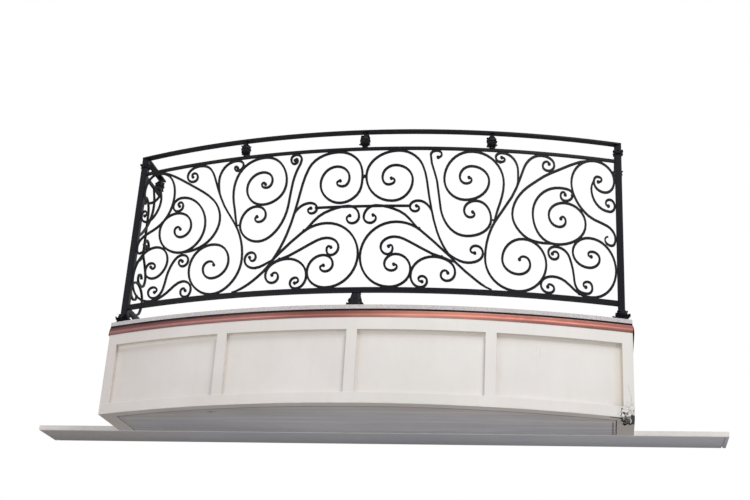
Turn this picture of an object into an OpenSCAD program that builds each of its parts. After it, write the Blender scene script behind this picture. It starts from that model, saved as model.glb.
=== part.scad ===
// Shallow bow-fronted balcony: a panelled box under a thin deck, with a wrought scroll railing.
// X runs along the wall, +Y points into the wall and Z is up.
// The origin is on the back face of the ledger board, half way up the box.

/* [Box] */
// Width of the box along the wall
box_w = 2900; // [2500:10:3300]
// Height of the box from its soffit to the underside of the deck slab
box_h = 512; // [420:2:640]
// Distance from the wall to the front corners
corner_depth = 345; // [300:5:420]
// How far the middle of the front stands out past the corners
bow_rise = 260; // [200:5:320]
// Thickness of the boards that close the box
board_t = 18; // [12:1:24]
// Thickness of the trim nailed on the boards
trim_t = 20; // [12:1:24]
// Height of the top rail of the panelling, flashing included
top_rail_h = 112; // [90:1:150]
// Height of the bottom rail of the panelling
bottom_rail_h = 58; // [50:1:90]
// Width of the stiles between the panels
stile_w = 56; // [40:1:80]
// Thickness of the ledger board on the wall
ledger_t = 38; // [30:1:50]

/* [Soffit and ledge] */
// Width of the border strip along the front of the soffit
border_w = 60; // [45:1:90]
// Width of the border strips along the sides of the soffit
side_border_w = 90; // [60:5:120]
// How far the soffit panel lies above the border strip
border_step = 4; // [2:1:8]
// Length of the ledge board along the wall
ledge_w = 3890; // [3500:10:4300]
// Thickness of the ledge board
ledge_t = 27; // [20:1:40]
// How far the ledge stands out from the wall above it
ledge_lip = 10; // [6:1:20]
// How far the ledge runs back under the wall above it
ledge_back = 230; // [100:5:260]

/* [Deck] */
// Thickness of the deck slab
slab_t = 25; // [20:1:40]
// Height of the copper flashing below the slab
copper_h = 52; // [40:1:70]
// How far the copper bulges out from the box, low down
copper_bulge = 8; // [5:1:14]
// How far the upper and lower edges of the copper stand out
copper_edge = 2; // [1:0.5:4]

/* [Railing] */
// Height of the handrail above the deck
rail_h = 1067; // [950:1:1150]
// Distance from the box front to the handrail's outer edge
rail_inset = 35; // [30:1:60]
// Width of the flat handrail
hand_w = 40; // [36:1:50]
// Thickness of the flat handrail
hand_t = 10; // [8:1:16]
// Size of the square upper rail
upper_t = 16; // [12:1:20]
// Gap between the handrail and the upper rail
upper_gap = 93; // [80:1:120]
// Size of the square bottom rail
lower_t = 25; // [20:1:32]
// Gap between the deck and the bottom rail
lower_gap = 91; // [80:1:120]
// Size of the square corner posts
post_w = 38; // [32:1:40]
// Width of the short uprights between the two top rails
link_w = 18; // [14:1:22]

/* [Scrollwork] */
// Width of the scroll bars seen from the front
bar_w = 12; // [10:0.5:14]
// Depth of the scroll bars
bar_d = 12; // [10:0.5:14]
// Diameter of the round eye that ends a scroll
eye_d = 18; // [15:0.5:20]

/* [Hidden] */

// Overshoot of a cutting shape past the face it cuts
cut = 1;

// Levels
z_soffit = -box_h / 2;
z_slab = box_h / 2;
z_deck = z_slab + slab_t;
z_hand = z_deck + rail_h;
z_upper = z_hand - hand_t - upper_gap;
z_lower = z_deck + lower_gap + lower_t;
z_box = z_soffit + border_step + board_t;

// Bow of the front: an arc about an axis behind the wall
half_w = box_w / 2;
bow_r = (half_w * half_w + bow_rise * bow_rise) / (2 * bow_rise);
bow_y = bow_r - corner_depth - bow_rise;
board_r = bow_r - trim_t;
core_half = half_w - trim_t;
rail_r = bow_r - rail_inset;
rail_half = half_w - rail_inset;
scroll_r = rail_r - hand_w / 2;
panel_h = z_upper - upper_t - z_lower;

// Fineness of the round shapes
bow_fn = 360;
bar_fn = 32;
flat_error = 0.6;

// Headings of the bars at their knots
E = 0;
N = 90;
W = 180;
S = 270;

// Front of the bow at half width x on an arc of radius r
function bow_front(x, r) = bow_y - sqrt(r * r - x * x);

// A band of the bow between two radii, cut off at a half width
module bow_band(r_out, r_in, z0, h, half) {
    intersection() {
        translate([0, bow_y, z0]) difference() {
            cylinder(h = h, r = r_out, $fn = bow_fn);
            translate([0, 0, -cut]) cylinder(h = h + 2 * cut, r = r_in, $fn = bow_fn);
        }
        translate([-half, -2 * bow_r, z0]) cube([2 * half, 2 * bow_r, h]);
    }
}

// A flat board that fills the bow from the wall to a radius
module bow_plate(r, z0, h, half, y_back) {
    intersection() {
        translate([0, bow_y, z0]) cylinder(h = h, r = r, $fn = bow_fn);
        translate([-half, -bow_r, z0]) cube([2 * half, bow_r + y_back, h]);
    }
}

// Everything within a level band that stands out past an arc of the bow
module front_of_bow(r, z0, h) {
    translate([0, bow_y, z0 - cut]) difference() {
        cylinder(h = h + 2 * cut, r = 2 * bow_r, $fn = bow_fn);
        translate([0, 0, -cut]) cylinder(h = h + 4 * cut, r = r, $fn = bow_fn);
    }
}

module box_at(x0, x1, y0, y1, z0, z1) {
    translate([x0, y0, z0]) cube([x1 - x0, y1 - y0, z1 - z0]);
}

// One of the two ends: right as drawn, left mirrored
module at_end(side) {
    mirror([side < 0 ? 1 : 0, 0, 0]) children();
}

// Broken lower right corner of the box. On the front, a broken edge, a spall and a crack, as outlines
// [x, z] from the corner, where x inward is negative.
chip_deep = 8;
chips = [
    [[-78, -5], [-68, 4], [-57, 3], [-49, 9], [-38, 5], [-31, 10], [-23, 8], [-17, 14], [-10, 18],
        [-8, 44], [5, 50], [5, -5]],
    [[-48, 16], [-39, 12], [-33, 17], [-36, 24], [-31, 31], [-39, 29], [-46, 25]],
    [[-70, 4], [-64, 14], [-66, 31], [-60, 50], [-66, 50], [-72, 31], [-70, 14], [-77, 4]]
];
// In the underside, a hole behind a thin lip, as pairs [share of the side border's width in from the
// corner, distance back from the front edge], and how far up in it the torn core shows
hole = [[1.42, 22], [1.38, 10], [0.87, 12], [0.78, 9], [0.58, 14], [0.44, 10], [0.24, 13], [0.1, 11],
    [0.08, 30], [0.14, 53], [0.09, 92], [0.21, 131], [0.4, 122], [0.56, 158], [0.7, 130], [0.64, 95],
    [0.79, 74], [0.73, 42], [0.89, 28], [1.07, 24]];
core_step = 8;

module front_chips() {
    intersection() {
        translate([half_w, 0, z_soffit]) rotate([90, 0, 0]) linear_extrude(height = bow_r)
            for (outline = chips) polygon(outline);
        front_of_bow(bow_r - chip_deep, z_soffit, box_h);
    }
}

module under_hole(z0, z1) {
    translate([0, 0, z0]) linear_extrude(height = z1 - z0)
        polygon([for (p = hole) let(x = half_w - p[0] * side_border_w) [x, bow_front(x, bow_r) + p[1]]]);
}

// Box
module ledger_board() {
    inner_half = core_half - board_t;
    color("tan") box_at(-inner_half, inner_half, -ledger_t, 0, z_soffit + ledge_t, z_slab);
}

// Open joints in the underside: their width and depth, and how far in from the ledge's ends they lie
joint_w = 6;
joint_deep = 8;
end_strip = 17;

module wall_ledge() {
    color("ivory")
    difference() {
        box_at(-ledge_w / 2, ledge_w / 2, -ledge_lip, ledge_back, z_soffit, z_soffit + ledge_t);
        for (side = [-1, 1]) at_end(side)
            box_at(ledge_w / 2 - end_strip - joint_w, ledge_w / 2 - end_strip, -ledge_lip + end_strip,
                ledge_back + cut, z_soffit - cut, z_soffit + joint_deep);
    }
}

// The soffit panel, whose lower part leaves an open joint to the border
module soffit_panel() {
    inner_half = half_w - side_border_w;
    z0 = z_soffit + border_step;
    color("gainsboro") {
        bow_plate(bow_r - border_w - joint_w, z0, joint_deep + cut, inner_half - joint_w, -ledge_lip);
        bow_plate(bow_r - border_w, z0 + joint_deep, board_t - joint_deep, inner_half, -ledge_lip);
    }
}

module soffit_border() {
    color("ivory")
    difference() {
        bow_plate(bow_r, z_soffit, z_box - z_soffit, half_w, -ledge_lip);
        bow_plate(bow_r - border_w, z_soffit - cut, z_box - z_soffit + 2 * cut,
            half_w - side_border_w, cut);
        front_chips();
        under_hole(z_soffit - cut, z_box + cut);
    }
}

// The torn core that shows in the broken corner of the soffit
module corner_damage() {
    color("dimgray") under_hole(z_soffit + core_step, z_box);
}

module fascia_board() {
    color("ivory") bow_band(board_r, board_r - board_t, z_box, z_slab - z_box, core_half);
}

module fascia_top_rail() {
    color("ivory") bow_band(bow_r, board_r, z_slab - top_rail_h, top_rail_h, core_half);
}

module fascia_bottom_rail() {
    color("ivory")
    difference() {
        bow_band(bow_r, board_r, z_box, z_soffit + bottom_rail_h - z_box, core_half);
        front_chips();
    }
}

// Share of the way from the middle stile to the end stiles at which the others stand
stile_share = 0.51;

// A stile whose middle is a share of the way from the centre to an end stile
module stile(share) {
    z0 = z_soffit + bottom_rail_h;
    h = z_slab - top_rail_h - z0;
    color("ivory")
    intersection() {
        bow_band(bow_r, board_r, z0, h, core_half);
        translate([share * (half_w - stile_w / 2) - stile_w / 2, -bow_r, z0])
            cube([stile_w, bow_r, h]);
    }
}

module side_board(side) {
    y_front = bow_front(core_half, board_r);
    color("ivory")
    at_end(side) difference() {
        box_at(core_half - board_t, core_half, y_front - board_t, 0, z_box, z_slab);
        front_of_bow(board_r - board_t, z_box, box_h);
    }
}

module side_trim(side) {
    y_front = bow_front(half_w, bow_r);
    color("ivory")
    difference() {
        at_end(side) difference() {
            intersection() {
                box_at(core_half, half_w, y_front - board_t, 0, z_box, z_slab);
                translate([0, bow_y, z_box]) cylinder(h = box_h, r = bow_r, $fn = bow_fn);
            }
            box_at(core_half - cut, half_w + cut, y_front + stile_w, -stile_w,
                z_soffit + bottom_rail_h, z_slab - top_rail_h);
        }
        front_chips();
    }
}

// Deck
module deck_slab() {
    color("lightgray") bow_plate(bow_r, z_slab, slab_t, half_w, 0);
}

// Open joint between the slab and the copper, and how far down it bulges most
copper_gap = 8;
bulge_share = 0.72;

module copper_profile() {
    polygon([
        [0, -copper_gap], [0, -copper_h], [copper_edge, -copper_h],
        [copper_bulge, -bulge_share * copper_h], [copper_edge, -copper_gap]
    ]);
}

module copper_flashing() {
    y_front = bow_front(half_w, bow_r);
    color("darksalmon") {
        intersection() {
            translate([0, bow_y, z_slab]) rotate_extrude($fn = bow_fn)
                translate([bow_r, 0]) copper_profile();
            translate([-half_w, -2 * bow_r, z_slab - copper_h]) cube([2 * half_w, 2 * bow_r, copper_h]);
        }
        for (side = [-1, 1]) at_end(side)
            box_at(half_w, half_w + copper_edge, y_front - copper_edge, 0,
                z_slab - copper_h, z_slab - copper_gap);
    }
}

// Railing
x_post = rail_half - post_w;
y_corner = bow_front(rail_half, rail_r);
y_post = y_corner + post_w;
x_side = rail_half - hand_w / 2;

// A ring of leaf tips around an upright, rising outward
leaf_tip = 0.17;

module leaf_ring(count, r, length, rise, w) {
    for (i = [0:count - 1])
        rotate([0, 0, (i + 0.5) * 360 / count]) translate([r, 0, 0]) rotate([0, 90 - rise, 0])
            cylinder(h = length, d1 = w, d2 = leaf_tip * w, $fn = bar_fn);
}

// Leafy knot on the short uprights and on the posts between the two top rails
knot_d = 0.43 * upper_gap;
post_knot_d = 1.35 * post_w;
knot_leaves = 6;
leaf_l = 0.26 * upper_gap;
leaf_w = 0.17 * upper_gap;
leaf_up = 35;
leaf_down = 40;

module leafy_knot(d) {
    sphere(d = d, $fn = bar_fn);
    leaf_ring(knot_leaves, d / 4, leaf_l, leaf_up, leaf_w);
    translate([0, 0, -d / 8]) leaf_ring(knot_leaves, d / 4, leaf_l, -leaf_down, leaf_w);
}

module corner_post(side) {
    color("black")
    at_end(side) {
        box_at(x_post, rail_half, y_corner, y_post, z_deck, z_hand - hand_t);
        translate([rail_half - post_w / 2, y_corner + post_w / 2, z_hand - hand_t - upper_gap / 2])
            leafy_knot(post_knot_d);
    }
}

module handrail_front() {
    color("black") bow_band(rail_r, rail_r - hand_w, z_hand - hand_t, hand_t, rail_half);
}

module handrail_side(side) {
    color("black")
    at_end(side) difference() {
        box_at(rail_half - hand_w, rail_half, y_corner, 0, z_hand - hand_t, z_hand);
        front_of_bow(rail_r - hand_w, z_hand - hand_t, hand_t);
    }
}

module rail_front(t, z_top) {
    color("black") bow_band(scroll_r + t / 2, scroll_r - t / 2, z_top - t, t, x_post);
}

module rail_side(side, t, z_top) {
    color("black") at_end(side) box_at(x_side - t / 2, x_side + t / 2, y_post, 0, z_top - t, z_top);
}

// A short upright with a leafy knot, standing on the upper rail
module link() {
    translate([-link_w / 2, -link_w / 2, 0]) cube([link_w, link_w, upper_gap]);
    translate([0, 0, upper_gap / 2]) leafy_knot(knot_d);
}

// Where the knots stand along the bow, as shares of the way to the posts; set by hand, not quite evenly
knuckle_shares = [-0.515, -0.004, 0.503];

module knuckles() {
    color("black")
    for (share = knuckle_shares)
        translate([0, bow_y, z_upper]) rotate([0, 0, share * asin(x_post / scroll_r)])
            translate([0, -scroll_r, 0]) link();
}

// Distance of the last upright and the last foot of the returns from the wall
wall_gap = 1.12 * hand_w;

module wall_links() {
    color("black") for (side = [-1, 1]) at_end(side) translate([x_side, -wall_gap, z_upper]) link();
}

// Flared feet under the bottom rail: radii at the base and at the neck, and the profile as pairs
// [share of the way out from the neck to the base, share of the height]
foot_base = 0.49 * lower_gap;
foot_neck = 0.24 * lower_gap;
small_base = 0.28 * lower_gap;
small_neck = 0.155 * lower_gap;
foot_profile = [[1, 0], [1, 0.1], [0.8, 0.2], [0, 0.92], [-0.2, 1]];

module flared_foot(r_base, r_neck) {
    rotate_extrude($fn = bar_fn) polygon(concat(
        [[0, 0]],
        [for (p = foot_profile) [r_neck + p[0] * (r_base - r_neck), p[1] * lower_gap]],
        [[0, lower_gap]]
    ));
}

module centre_foot() {
    color("black") translate([0, bow_y - scroll_r, z_deck]) flared_foot(foot_base, foot_neck);
}

module wall_feet() {
    color("black")
    for (side = [-1, 1]) at_end(side)
        translate([x_side, -wall_gap, z_deck]) flared_foot(small_base, small_neck);
}

// Leafy cast shoes around the corner posts
shoe_w = 2 * post_w;
shoe_h = 0.66 * lower_gap;
shoe_plate = 0.1 * lower_gap;
shoe_collar = 0.12 * lower_gap;
collar_w = 1.32 * post_w;
shoe_leaves = 8;
shoe_fit = 0.2;

module corner_shoe() {
    hole_w = post_w + 2 * shoe_fit;
    difference() {
        union() {
            translate([-shoe_w / 2, -shoe_w / 2, 0]) cube([shoe_w, shoe_w, shoe_plate]);
            cylinder(h = shoe_h - cut, d1 = 0.97 * shoe_w, d2 = 1.08 * collar_w, $fn = bar_fn);
            translate([-collar_w / 2, -collar_w / 2, shoe_h - shoe_collar])
                cube([collar_w, collar_w, shoe_collar]);
            translate([0, 0, shoe_h / 3])
                leaf_ring(shoe_leaves, shoe_w / 3, shoe_w / 3, 8, shoe_w / 4);
            translate([0, 0, 0.63 * shoe_h])
                leaf_ring(shoe_leaves, shoe_w / 4, 0.29 * shoe_w, 38, shoe_w / 5);
        }
        translate([-hole_w / 2, -hole_w / 2, -cut]) cube([hole_w, hole_w, 2 * shoe_h]);
    }
}

module corner_shoes() {
    color("black")
    for (side = [-1, 1]) at_end(side)
        translate([rail_half - post_w / 2, y_corner + post_w / 2, z_deck]) corner_shoe();
}

// Scrollwork. Each scroll is a pair: which of its ends carry an eye, and a chain of knots
// [u, v, heading]. u runs along the bow from the centre line and v upward. The bar bends smoothly
// from knot to knot, and an end without an eye thins out inside the bar it is welded to. Both halves
// follow one pattern, forged by hand with small differences.
both = [1, 1];
first = [1, 0];
last = [0, 1];
none = [0, 0];

outer_right = [
    // Tall scroll beside the post
    [first, [[1306, 698, E], [1326, 714, N], [1303, 730, W], [1281, 695, S], [1341, 637, E],
        [1398, 715, N], [1285, 826, W], [1153, 675, S], [1194, 545, -58], [1246, 485, -42],
        [1352, 436, -28], [1398, 365, S], [1374, 320, W], [1339, 352, N], [1358, 372, E]]],
    // Small scroll under its eye
    [last, [[1284, 715, 250], [1266, 650, S], [1368, 523, E], [1398, 560, N], [1370, 597, W],
        [1347, 572, S], [1362, 557, E]]],
    // Round scroll in the middle of the wing
    [both, [[1118, 597, N], [1108, 613, W], [1092, 588, S], [1118, 560, E], [1160, 602, N],
        [1089, 636, W], [938, 470, S], [1066, 295, E], [1231, 430, N], [1115, 547, W],
        [1026, 467, S], [1083, 400, E], [1120, 435, N], [1102, 463, W], [1093, 450, S]]],
    // Small scroll that runs down to the bottom rail
    [both, [[1046, 238, N], [1062, 252, E], [1080, 230, S], [1055, 206, W], [1024, 245, N],
        [1064, 281, E], [1140, 225, -72], [1163, 120, -85], [1181, 46, -55], [1235, 25, E],
        [1264, 58, N], [1240, 94, W], [1215, 75, S], [1228, 62, E]]],
    // Wide scroll over the bottom corner
    [both, [[1260, 242, W], [1243, 255, N], [1267, 272, E], [1307, 232, S], [1245, 176, W],
        [1158, 260, N], [1252, 351, E], [1398, 175, S], [1255, 6, W], [1166, 40, 138],
        [1114, 86, 145], [1050, 106, W], [984, 55, S], [1026, 10, E], [1056, 36, N],
        [1030, 60, W], [1021, 44, S]]],
    // Long tendril from the top rail down to the round scroll
    [none, [[1262, 826, 190], [1037, 722, 207], [932, 645, 218], [826, 455, S], [888, 333, -43],
        [1064, 297, 2]]]
];

middle_right = [
    // Long bar that ties both halves of the wing
    [both, [[1028, 778, N], [1015, 792, W], [992, 762, S], [1022, 735, E], [1057, 772, N],
        [985, 826, W], [887, 740, 252], [822, 558, 243], [731, 402, 243], [683, 190, S],
        [858, 6, E], [1013, 170, N], [887, 311, W], [775, 187, S], [862, 104, E], [926, 162, N],
        [890, 209, W], [868, 190, S]]],
    // Hook scroll
    [both, [[410, 784, E], [430, 804, N], [400, 826, W], [369, 800, S], [409, 640, -78],
        [436, 464, -78], [580, 311, E], [711, 415, N], [627, 524, W], [563, 465, S], [597, 423, E],
        [621, 443, N], [610, 455, W]]],
    // Upper round scroll
    [first, [[585, 664, E], [600, 651, S], [569, 627, W], [534, 668, N], [599, 735, E], [696, 645, S],
        [565, 527, W], [449, 655, N], [600, 826, E], [777, 635, S], [746, 476, 253],
        [722, 384, 252]]],
    // Small curl at the top rail
    [first, [[763, 797, E], [781, 786, S], [755, 769, W], [730, 797, N], [764, 826, E],
        [855, 715, S], [847, 620, 250]]],
    // Short tie between the long bar and the hook
    [none, [[708, 413, E], [742, 413, E]]]
];

centre_right = [
    // Large scroll beside the centre line and its tail
    [first, [[155, 653, E], [175, 640, S], [140, 615, W], [105, 665, N], [175, 735, E], [275, 640, S],
        [165, 515, W], [14, 675, N], [190, 826, E], [327, 734, -66], [370, 540, -79],
        [420, 332, -71], [525, 155, -45], [635, 58, -38], [722, 6, -15]]],
    // Small curl on the large scroll
    [first, [[302, 484, E], [318, 472, S], [295, 451, W], [266, 480, N], [310, 516, E],
        [393, 430, -77]]],
    // Lower scroll beside the centre line
    [first, [[194, 136, E], [212, 125, S], [182, 100, W], [142, 140, N], [200, 197, E], [285, 105, S],
        [175, 6, W], [6, 190, N], [195, 388, E], [330, 338, -40], [533, 150, -44]]],
    // Curl and arch over it
    [first, [[65, 429, E], [82, 412, S], [50, 382, W], [13, 420, N], [78, 488, E], [210, 452, -25],
        [322, 345, -42]]],
    // Small scroll inside it
    [first, [[160, 242, 45], [170, 250, E], [183, 230, S], [158, 195, W], [117, 240, N], [190, 299, E],
        [290, 260, -28], [400, 200, -25], [524, 154, -30]]],
    // Low scroll on the bottom rail
    [both, [[350, 38, W], [330, 52, N], [348, 70, E], [377, 40, S], [343, 6, W], [287, 75, N],
        [405, 184, E], [525, 95, S], [483, 46, W], [449, 78, N], [470, 106, E], [486, 92, S]]],
    // Leaf curl above the tail
    [first, [[627, 213, W], [603, 228, N], [632, 256, E], [671, 212, S], [590, 155, W],
        [492, 200, 140]]]
];

outer_left = [
    [first, [[1306, 704, E], [1320, 718, N], [1303, 734, W], [1279, 700, S], [1342, 638, E],
        [1398, 725, N], [1318, 826, W], [1211, 776, 232], [1173, 652, S], [1191, 559, -67],
        [1245, 485, -40], [1329, 441, -22], [1398, 368, S], [1374, 320, W], [1339, 352, N],
        [1358, 372, E]]],
    [last, [[1281, 720, 252], [1267, 648, S], [1289, 566, -59], [1352, 518, E], [1398, 562, N],
        [1380, 592, W], [1362, 572, S], [1375, 560, E]]],
    [both, [[1128, 583, E], [1138, 595, N], [1124, 607, W], [1102, 578, S], [1133, 551, E],
        [1172, 593, N], [1120, 635, W], [990, 571, 228], [936, 436, S], [975, 331, -48],
        [1075, 284, E], [1193, 329, 40], [1247, 442, N], [1217, 513, 139], [1141, 539, W],
        [1030, 441, S], [1090, 382, E], [1141, 431, N], [1120, 450, W], [1103, 434, S]]],
    [both, [[1060, 228, N], [1073, 238, E], [1083, 224, S], [1053, 196, W], [1021, 228, N],
        [1068, 267, E], [1127, 222, -60], [1155, 149, -78], [1170, 71, -71], [1224, 22, E],
        [1272, 66, N], [1244, 90, W], [1212, 70, S], [1227, 58, E]]],
    [both, [[1277, 220, S], [1263, 207, W], [1247, 221, N], [1283, 244, E], [1314, 202, S],
        [1249, 146, W], [1189, 177, 130], [1164, 242, N], [1194, 313, 45], [1266, 341, E],
        [1398, 181, S], [1360, 60, 230], [1246, 6, W], [1140, 46, 145], [1043, 103, W],
        [981, 46, S], [1012, 6, E], [1048, 42, N], [1030, 60, W], [1017, 45, S]]],
    [none, [[1276, 826, 200], [1140, 757, 211], [1016, 679, 212], [898, 589, 227], [843, 459, S],
        [908, 328, -39], [1044, 282, -4], [1074, 283, 0]]]
];

middle_left = [
    [both, [[1060, 762, E], [1066, 774, N], [1051, 784, W], [1025, 752, S], [1052, 729, E],
        [1096, 773, N], [1021, 826, W], [940, 793, 229], [898, 712, 250], [822, 541, 241],
        [770, 463, 238], [721, 384, 244], [677, 203, S], [721, 73, -52], [843, 6, E],
        [958, 57, 44], [1009, 173, N], [973, 269, 133], [876, 309, W], [793, 278, 225],
        [759, 195, S], [852, 102, E], [917, 168, N], [878, 207, W], [850, 183, S]]],
    [both, [[410, 790, N], [400, 800, W], [393, 784, S], [411, 768, E], [433, 799, N],
        [404, 826, W], [370, 793, S], [393, 725, -71], [411, 654, -80], [426, 511, -83],
        [473, 376, -56], [588, 301, E], [671, 335, 42], [710, 416, N], [622, 519, W],
        [557, 459, S], [595, 421, E], [620, 441, N], [610, 455, W]]],
    [first, [[578, 655, N], [588, 666, E], [599, 652, S], [568, 632, W], [536, 675, N],
        [601, 732, E], [689, 640, S], [655, 559, 226], [578, 527, W], [484, 566, 136],
        [449, 658, N], [490, 775, 52], [593, 826, E], [729, 770, -49], [774, 631, S],
        [755, 517, 254], [725, 390, 248]]],
    [first, [[764, 778, N], [774, 790, E], [783, 780, S], [760, 760, W], [728, 792, N],
        [776, 826, E], [850, 792, -51], [877, 715, S], [851, 598, 247]]],
    [none, [[707, 412, E], [743, 412, E]]]
];

centre_left = [
    [first, [[134, 645, E], [152, 632, S], [117, 610, W], [82, 660, N], [158, 735, E],
        [246, 632, S], [208, 545, 225], [125, 508, W], [33, 555, 129], [8, 656, N], [40, 771, 52],
        [155, 826, E], [322, 734, -66], [370, 540, -79], [420, 332, -71], [497, 172, -57],
        [543, 113, -44], [623, 47, -33], [719, 6, -8]]],
    [first, [[292, 484, E], [308, 472, S], [285, 451, W], [256, 480, N], [300, 516, E],
        [391, 438, -77]]],
    [first, [[194, 136, E], [212, 125, S], [182, 100, W], [142, 140, N], [200, 197, E], [285, 105, S],
        [175, 6, W], [6, 190, N], [195, 388, E], [330, 338, -40], [505, 164, -50]]],
    [first, [[65, 429, E], [82, 412, S], [50, 382, W], [13, 420, N], [78, 488, E], [210, 452, -25],
        [322, 345, -42]]],
    [first, [[160, 242, 45], [170, 250, E], [183, 230, S], [158, 195, W], [117, 240, N], [190, 299, E],
        [290, 260, -28], [400, 200, -25], [507, 160, -30]]],
    [both, [[350, 38, W], [330, 52, N], [348, 70, E], [377, 40, S], [343, 6, W], [287, 75, N],
        [405, 184, E], [525, 95, S], [483, 46, W], [449, 78, N], [470, 106, E], [486, 92, S]]],
    [first, [[630, 208, S], [611, 185, W], [593, 207, N], [625, 237, E], [659, 198, S],
        [593, 141, W], [489, 184, 155]]]
];

// Spots [u, v] where two bars that run side by side are welded together
outer_welds_right = [[1182, 328], [1158, 596], [1212, 515], [1192, 22]];
middle_welds_right = [[601, 526], [755, 769]];
centre_welds_right = [[4, 668], [285, 83], [321, 348], [450, 184]];
outer_welds_left = [[1200, 328], [1171, 612], [1236, 492], [1192, 27]];
middle_welds_left = [[600, 523], [738, 759]];
centre_welds_left = [[1, 662], [285, 83], [321, 348], [450, 184]];

// The straight link bar across the centre line: its height and how far it reaches
link_v = 484;
link_u = 268;

// The drawn pattern fills the panel: its outermost bars are pressed into the rails and the post
seat = 0.4;
drawn = [for (s = concat(outer_right, middle_right, centre_right, outer_left, middle_left, centre_left))
    each s[1]];
drawn_end = max([for (k = drawn) k[0]]);
drawn_low = min([for (k = drawn) k[1]]);
drawn_top = max([for (k = drawn) k[1]]);
rail_u = scroll_r * asin(x_post / scroll_r) * PI / 180;
edge = bar_w / 2 - seat;
stretch_u = (rail_u - edge) / drawn_end;
stretch_v = (panel_h - 2 * edge) / (drawn_top - drawn_low);
function placed(k) = [k[0] * stretch_u, edge + (k[1] - drawn_low) * stretch_v];

// Taper of the bar: width at an eye and at a plain end, and the length over which it thins
eye_end = 0.75;
plain_end = 0.5;
taper_l = 70;

function turn_between(a, b) = let(d = (b - a) % 360) d > 180 ? d - 360 : (d < -180 ? d + 360 : d);
function heading(a) = [cos(a), sin(a)];
function span_steps(chord, turn) =
    let(t = max(abs(turn), 4), r = chord / (2 * sin(t / 2)))
    max(1, ceil(t / (2 * acos(1 - min(0.9, flat_error / r)))));

// Points of one bend from a to b between two headings, without its last one
function bend(a, b, ha, hb) =
    let(
        turn = turn_between(ha, hb),
        chord = norm(b - a),
        grip = chord / (3 * pow(cos(turn / 4), 2)),
        c = a + grip * heading(ha), d = b - grip * heading(hb),
        n = span_steps(chord, turn)
    )
    [for (i = [0:n - 1]) let(t = i / n, s = 1 - t)
        s * s * s * a + 3 * s * s * t * c + 3 * s * t * t * d + t * t * t * b];

// Centre line through spots with headings
function path(spots, heads) = concat(
    [for (i = [0:len(spots) - 2]) each bend(spots[i], spots[i + 1], heads[i], heads[i + 1])],
    [spots[len(spots) - 1]]
);
function front_path(knots) = path([for (k = knots) placed(k)], [for (k = knots) k[2]]);

// Distance of each point of a path from its start
function run(pts) = [for (i = 0, s = 0; i < len(pts);
    s = s + (i + 1 < len(pts) ? norm(pts[i + 1] - pts[i]) : 0), i = i + 1) s];

// Unit normals along a path
function normals(pts) = [for (i = [0:len(pts) - 1])
    let(d = pts[min(i + 1, len(pts) - 1)] - pts[max(i - 1, 0)]) [-d[1], d[0]] / norm(d)];

// Share of the full width at a distance from an end
function taper(s, eye) = let(e = eye == 1 ? eye_end : plain_end) min(1, e + (1 - e) * s / taper_l);

// Outline of a tapered bar along a path
function bar_outline(pts, ends) =
    let(
        n = normals(pts), k = len(pts) - 1, s = run(pts),
        w = [for (i = [0:k]) bar_w / 2 * min(taper(s[i], ends[0]), taper(s[k] - s[i], ends[1]))]
    )
    concat(
        [for (i = [0:k]) pts[i] + n[i] * w[i]],
        [for (i = [k:-1:0]) pts[i] - n[i] * w[i]]
    );

function eyes(pts, ends) = [if (ends[0] == 1) pts[0], if (ends[1] == 1) pts[len(pts) - 1]];

// A point of the flat pattern as seen from the front once the panel is bent to the bow
function wrap(p) = [scroll_r * sin(p[0] / scroll_r * 180 / PI), p[1]];

// Bends flat shapes to the bow as a layer of the panel, on one half of the front
module bent_layer(depth) {
    intersection() {
        translate([0, 0, z_lower]) rotate([90, 0, 0]) linear_extrude(height = bow_r) children();
        bow_band(scroll_r + depth / 2, scroll_r - depth / 2, z_lower, panel_h, x_post);
        translate([0, -bow_r, z_lower]) cube([half_w, bow_r, panel_h]);
    }
}

module scroll(ends, knots) {
    pts = front_path(knots);
    bent_layer(bar_d) {
        polygon([for (p = bar_outline(pts, ends)) wrap(p)]);
        for (p = eyes(pts, ends)) translate(wrap(p)) circle(d = eye_d, $fn = bar_fn);
    }
}

// Weld spots are a little thinner than the bars and reach across a pair of them
weld_share = 0.8;
weld_reach = 1.5;

module weld(spot) {
    bent_layer(bar_d * weld_share) translate(wrap(placed(spot))) circle(d = weld_reach * bar_w, $fn = bar_fn);
}

module link_bar() {
    p = placed([link_u, link_v]);
    bent_layer(bar_d) translate([0, p[1] - bar_w / 2]) square([wrap(p)[0], bar_w]);
}

module front_scrolls(side, scrolls, welds) {
    color("black")
    at_end(side) {
        for (s = scrolls) scroll(s[0], s[1]);
        for (spot = welds) weld(spot);
        children();
    }
}

module centre_scrolls(side, scrolls, welds) {
    front_scrolls(side, scrolls, welds) link_bar();
}

// Scrollwork of the returns: u runs from the corner post to the wall
side_pattern = [
    // Long bar from the upper rail down to the post
    [none, [[150, 832, -58], [190, 735, S], [133, 579, 235], [-6, 440, 212]]],
    // Volute near the top, its stem and the leg to the post
    [first, [[50, 686, W], [30, 702, N], [56, 726, E], [120, 630, S], [124, 480, S], [122, 380, 262],
        [48, 296, 235], [-8, 215, 240]]],
    // Curl on the stem
    [first, [[158, 452, S], [172, 430, E], [198, 458, N], [162, 490, W], [127, 430, S],
        [123, 380, 268]]],
    // Leg with a curl at its foot
    [last, [[123, 404, S], [172, 334, -58], [212, 255, S], [160, 194, W], [100, 222, N],
        [133, 257, E], [150, 243, S]]],
    // Scroll that stands on the bottom rail
    [first, [[114, 112, S], [66, 76, W], [18, 118, N], [105, 190, E], [208, 100, S],
        [130, 6, W]]]
];

// Share of the return that its scrolls fill
side_share = 0.75;
side_end = max([for (s = side_pattern) for (k = s[1]) k[0]]);
side_stretch = side_share * -y_post / side_end;
function side_placed(k) = [k[0] * side_stretch, placed(k)[1]];

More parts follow.
